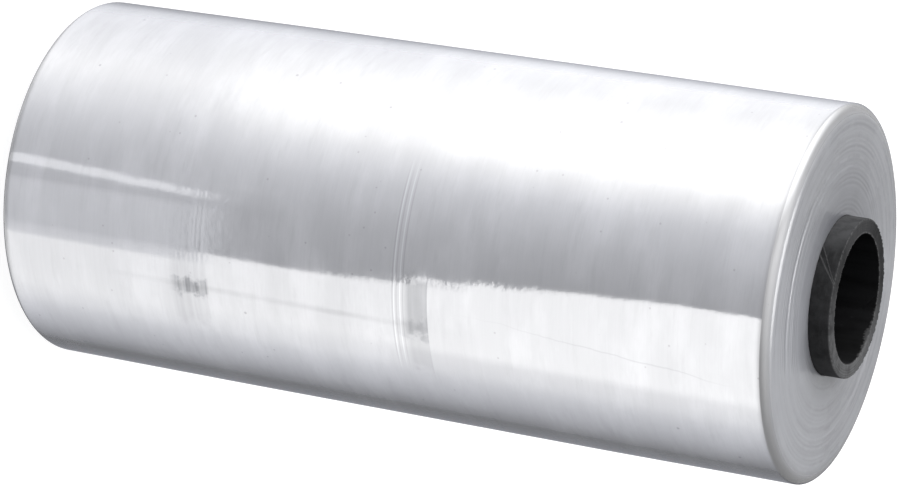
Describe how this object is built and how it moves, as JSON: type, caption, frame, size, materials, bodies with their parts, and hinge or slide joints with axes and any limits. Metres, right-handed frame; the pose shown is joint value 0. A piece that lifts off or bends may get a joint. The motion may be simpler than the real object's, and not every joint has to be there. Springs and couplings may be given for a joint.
{
  "type": "stretch wrap roll",
  "caption": "Wide machine roll of clear stretch film wound on a spiral-wound paperboard core that stands out at both ends, standing on its end.",
  "frame": {"origin": "centre of the core's lower end, on the surface that the roll stands on", "axes": "+Z along the core's axis, upwards, towards the end that faces the viewer in the picture; the spiral seam leaves the film's upper end towards -Y and -X"},
  "size_m": [0.2249, 0.225, 0.526],
  "materials": {
    "core_board": "matt grey board, spiral wound, with a worn paler rim",
    "stretch_film": "glossy, slightly milky clear film, many turns deep"
  },
  "bodies": {
    "root": {"core": "core_board", "film_winding": "stretch_film"}
  },
  "joints": []
}
